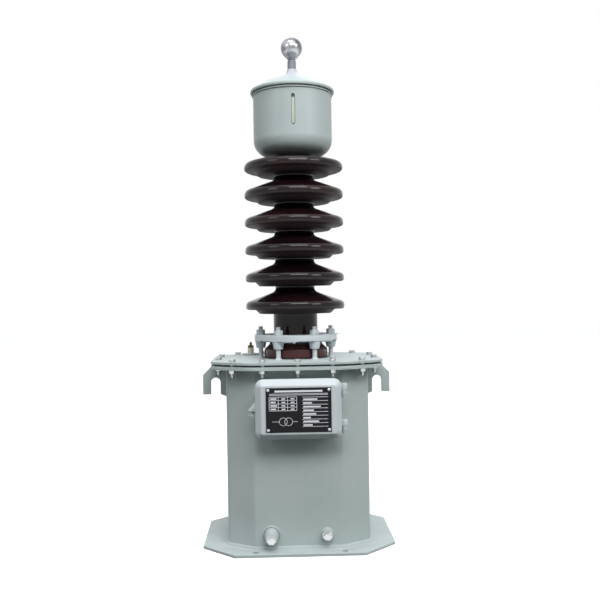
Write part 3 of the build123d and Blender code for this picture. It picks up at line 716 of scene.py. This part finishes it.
stem_foot = [(0, 1120.5, 0), (10.25, 1120.5, 0)]
stem_neck = [(10.25, 1142, 0.5), (8.25, 1142.4, 0.2), (8.25, 1145.2, 0), (0, 1145.2, 0)]
stem_patches = [patch(turned(rounded(stem_foot + stem_neck)))]
stem = piece_of("terminal_shank", stem_patches, "transformer", stem_paint)
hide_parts("terminal_stem")

turning_rings, reflection_blotches = 900.0, 38.0
plating, tree = new_material("plated contact metal")
place = add(tree, "TexCoord").outputs["Object"]
rings = add(tree, "Mapping", {"Vector": place, "Scale": (0.05, 0.05, 1.0)})
turning = add(tree, "TexNoise", {"Vector": rings.outputs[0], "Scale": turning_rings, "Detail": 2.0})
# Painted reflections: dark blotches that stand in for dark surroundings mirrored in the ball.
dark_reflection = add(tree, "TexNoise", {"Vector": place, "Scale": reflection_blotches, "Detail": 4.0, "Roughness": 0.65})
reflection_share = add(tree, "MapRange", {"Value": dark_reflection.outputs[0], "From Min": 0.42, "From Max": 0.66})
plating_tones = {"Factor": reflection_share.outputs[0], "A": linear("#A3A4A8"), "B": linear("#5E5F64")}
tone = add(tree, "Mix", plating_tones, data_type="RGBA")
haze = add(tree, "MapRange", {"Value": dark_reflection.outputs[0], "To Min": 0.16, "To Max": 0.34})
skin = add(tree, "Bump", {"Height": turning.outputs[0], "Strength": 0.35, "Distance": 0.0001})
plating_values = {
    "Base Color": tone.outputs["Result"],
    "Metallic": 1.0,
    "Roughness": haze.outputs[0],
    "Normal": skin.outputs[0],
}
surface = add(tree, "BsdfPrincipled", plating_values)
add(tree, "OutputMaterial", {"Surface": surface.outputs[0]})
ball_radius = 0.026
ball_centre = 1.1737
ball_steps = 96
neck_radius, neck_drop = 0.01, 0.0287
neck_angle = np.degrees(np.arctan2(neck_drop, neck_radius))
tangent_angle = np.degrees(np.arccos(ball_radius / np.hypot(neck_radius, neck_drop)))
ball_arc = circle_arc(ball_radius, ball_centre, -neck_angle + tangent_angle, 90, 40)
ball_profile = np.vstack([[[0, 1.145]], [[0.0093, 1.145]], [[neck_radius, 1.1458]], ball_arc])
ball = piece_of("contact_ball", [patch(turned(ball_profile, ball_steps))], "transformer", plating)
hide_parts("ball_terminal")


# The neutral bushing: a little tan-glazed porcelain on a welded flange, with its brass stud and nut.
# The glaze is glossy and evenly pale, in a mottle of 8 mm. The brass has browned in the weather, with
# spots of 6 mm where it is still yellow.
tan_glaze = mottled("tan porcelain glaze", 120.0, 3.0, "#C9BFAC", "#DBD2C1", {"Roughness": 0.18})
old_brass = mottled(
    "browned brass", 160.0, 3.0, "#3A3022", "#6B5736", {"Metallic": 1.0, "Roughness": 0.45}
)
flange_edge = 0.0005
dress("neutral_flange", paint, flange_edge)
dress("neutral_bushing", tan_glaze)
dress("neutral_terminal", old_brass)


# The terminal box: folded 3 mm sheet welded to the tank's front, with a flange for the rubber seal.
# Its door is a deep pressing with a soft edge, hung on two lift-off hinges with plated pins.
box_middle = 0.325
box_width, box_height, box_corner = 0.178, 0.12, 0.012
box_weld_size = 0.004
corner_steps = 44
sheet_edge, knuckle_edge = 0.0005, 0.0004
dress("box_body", paint, sheet_edge)
dress("box_seal", black_rubber)
dress("box_door", pale_paint)
dress("box_knuckles", paint, knuckle_edge)
dress("door_knuckles", pale_paint, knuckle_edge)
dress("hinge_pins", zinc)


def rounded_rectangle(width, height, radius, spacing):
    """Points round a rounded rectangle about the box's middle, in a plane, and their outward directions.

    Each quarter is an arc about a corner's centre; the straight sides lie between the arcs."""
    angle = np.linspace(0, 2 * np.pi, corner_steps, endpoint=False) + np.pi / corner_steps
    way = np.stack([np.cos(angle), np.sin(angle)], 1)
    centres = np.sign(way) * ([width / 2 - radius, height / 2 - radius])
    return evenly(centres + radius * way, way, spacing)


def upright(points, depth):
    """Points of the front view, as x and height, set at a depth along y."""
    return np.stack([points[:, 0], np.full(len(points), depth), points[:, 1]], 1)


box_points, box_facing = rounded_rectangle(box_width, box_height, box_corner, weld_step)
box_path = upright(box_points + [[0, box_middle]], tank_front)
box_weld = bead(box_path, upright(box_facing, 0.0), forwards, box_weld_size)
piece_of("box_weld", [box_weld], "transformer", paint, weld_crease)


# The rating plate: thin aluminium, anodised black, with a printed frame and ruled fields left empty,
# and the general sign of two coupled windings. Four white rivets hold it. The black is satin, with
# brushed lines 1 mm apart and 28 mm long; the ink is matt and slightly worn, in spots of 4 mm.
anodised = mottled(
    "black anodised aluminium",
    900.0,
    3.0,
    "#08080B",
    "#111116",
    {"Roughness": 0.4, "Specular IOR Level": 0.15},
    stretch=(0.04, 1.0, 1.0),
)
ink = mottled("white printing ink", 260.0, 4.0, "#D2D4DA", "#F4F5F8", {"Roughness": 0.55})
dress("rating_plate", anodised)

plate_front = -0.1963
print_proud = 0.00012
print_sunk = 0.0002


def strips(rectangles):
    """Thin printed strips on the plate, each from its left, low, right and high edges in millimetres."""
    left, low, right, high = np.asarray(rectangles, float).T / 1000
    x = np.stack([left, right, right, left], 1)
    z = np.stack([low, low, high, high], 1) + box_middle
    front, back = np.full_like(x, plate_front - print_proud), np.full_like(x, plate_front + print_sunk)
    points = np.stack([np.stack([x, front, z], -1), np.stack([x, back, z], -1)], 1).reshape(-1, 3)
    box = np.array(
        [[0, 1, 2, 3], [4, 7, 6, 5], [0, 4, 5, 1], [1, 5, 6, 2], [2, 6, 7, 3], [3, 7, 4, 0]]
    )
    starts = 8 * np.arange(len(x))
    return points, (box[None] + starts[:, None, None]).reshape(-1, 4)


def ruled(left, right, heights, thickness):
    """Level rules of one length at several heights, as edges of strips."""
    return [(left, h - thickness / 2, right, h + thickness / 2) for h in heights]


def posts(places, low, high, thickness):
    """Upright rules of one height at several places, as edges of strips."""
    return [(x - thickness / 2, low, x + thickness / 2, high) for x in places]


def facing_front(grid, x, start, height):
    """A grid about Z, laid along -Y from a depth, with its axis at a place of the front view."""
    return np.stack([grid[..., 0] + x, start - grid[..., 2], grid[..., 1] + height], -1)


# The heading with its two rules, the small table on the left, the list on the right, the bars in both,
# and the leads of the windings' sign.
cells = (21.5, 14, 6.5, -1)
rules = ruled(-64, 64, (33, 35.5), 1.0) + ruled(-52, 52, (41,), 4.0)
rules += ruled(-64, -4, (29,) + cells, 1.0) + posts((-64, -44, -24, -4), -1, 29, 1.0)
rules += ruled(8, 64, range(-36, 36, 8), 0.9)
bar_ends = zip((30, 44, 26, 38, 33, 48, 29, 41), range(-36, 28, 8))
rules += [(10, h + 1.6, end, h + 4.8) for end, h in bar_ends]
rules += [(-61, h + 2, -61 + length, h + 5) for length, h in zip((13, 11, 14, 12), cells)]
rules += [(start, h + 2, start + 8, h + 4.6) for start in (-37, -17) for h in cells]
rules += ruled(-58, -42, (-25,), 0.8) + ruled(-14, -2, (-25,), 0.8)

winding_radius = 0.0085
winding_x, winding_height = (-0.0338, -0.0222), 0.3
line_half, line_depth = 0.0004, 0.0003
winding = washer(winding_radius + line_half, winding_radius - line_half, 0.0, line_depth)
print_start = plate_front + print_sunk
sign = [patch(facing_front(winding, x, print_start, winding_height), True) for x in winding_x]
piece_of("rating_plate_print", [strips(rules)] + sign, "door", ink)

rivet_radius = 0.0032
rivet_flatness = 0.6
rivet_half_width, rivet_half_height = 0.0665, 0.0435
rivet_x, rivet_z = rivet_half_width * signs[:, 0], rivet_half_height * signs[:, 1] + box_middle
rivet_places = np.stack([rivet_x, np.full(len(signs), plate_front), rivet_z], 1)
rivet_round = circle_arc(rivet_radius, 0.0, 20, 90, 8) * [1, rivet_flatness]
rivet = turned(np.vstack([[[rivet_radius, -0.0004]], [[rivet_radius, 0.0]], rivet_round]), 24)
rivet_patches = [copies(facing_front(rivet, 0.0, 0.0, 0.0), rivet_places)]
piece_of("plate_rivets", rivet_patches, "door", ink)


# Inside the box: a board of brown phenolic laminate with four brass terminals, and a rubber grommet in
# the floor where the low-voltage cable comes in. The laminate has a satin face with fibres of 3 by
# 17 mm, and the brass is yellow, with dull spots of 6 mm.
laminate = mottled(
    "phenolic laminate", 400.0, 4.0, "#5E3A1E", "#7C5330", {"Roughness": 0.38}, stretch=(0.15, 1.0, 1.0)
)
brass = mottled("plain brass", 160.0, 3.0, "#B99C5E", "#8A7444", {"Metallic": 1.0}, haze=(0.22, 0.45))
board_edge, terminal_edge, grommet_edge = 0.0005, 0.0003, 0.0006
dress("terminal_board", laminate, board_edge)
dress("board_terminals", brass, terminal_edge)
dress("cable_grommet", black_rubber, grommet_edge)


# Low on the front, the drain's boss is turned and welded on, with a bright hexagon plug in its end;
# beside it stands the earthing boss with its bolt and washer.
boss_height = 0.035
drain_x, drain_end = -0.064, -0.164
earth_x, earth_end = 0.062, -0.143
drain_weld_radius, drain_weld = 0.019, 0.003
earth_weld_radius, earth_weld = 0.013, 0.0025
boss_edge = 0.0006


def round_weld(x, radius, size):
    """A weld bead round a boss on the tank's front."""
    steps = int(2 * np.pi * radius / weld_step)
    angle = np.linspace(0, 2 * np.pi, steps, endpoint=False)
    way = np.stack([np.cos(angle), 0 * angle, np.sin(angle)], 1)
    path = np.array([[x, tank_front, boss_height]]) + radius * way
    return bead(path, way, forwards, size)


boss_welds = [
    round_weld(drain_x, drain_weld_radius, drain_weld),
    round_weld(earth_x, earth_weld_radius, earth_weld),
]
piece_of("boss_welds", boss_welds, "transformer", paint, weld_crease)

plug_flats, plug_foot, plug_end = 0.017, 0.0005, 0.012
plug_collar = [(0, 0), (0.0105, 0), (0.0105, 0.0018), (0.0085, 0.0022), (0, 0.0022)]
plug_grids = [hexagon(plug_flats, plug_foot, plug_end), turned(plug_collar)]
plug_patches = [patch(facing_front(grid, drain_x, drain_end, boss_height)) for grid in plug_grids]
plug = piece_of("drain_plug_chamfered", plug_patches, "transformer", zinc)
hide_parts("drain_plug")
washer_foot, washer_end, collar_end, bolt_end = 0.0, 0.002, 0.004, 0.0125
earth_washer, earth_collar, earth_flats = 0.011, 0.0085, 0.016
earth_grids = [
    rod(earth_washer, washer_foot, washer_end),
    rod(earth_collar, washer_end, collar_end),
    hexagon(earth_flats, collar_end, bolt_end),
]
earth_patches = [patch(facing_front(grid, earth_x, earth_end, boss_height)) for grid in earth_grids]
earth = piece_of("earth_bolt_chamfered", earth_patches, "transformer", zinc)
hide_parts("earth_bolt")
dress("drain_boss", paint)
dress("earth_boss", paint, boss_edge)
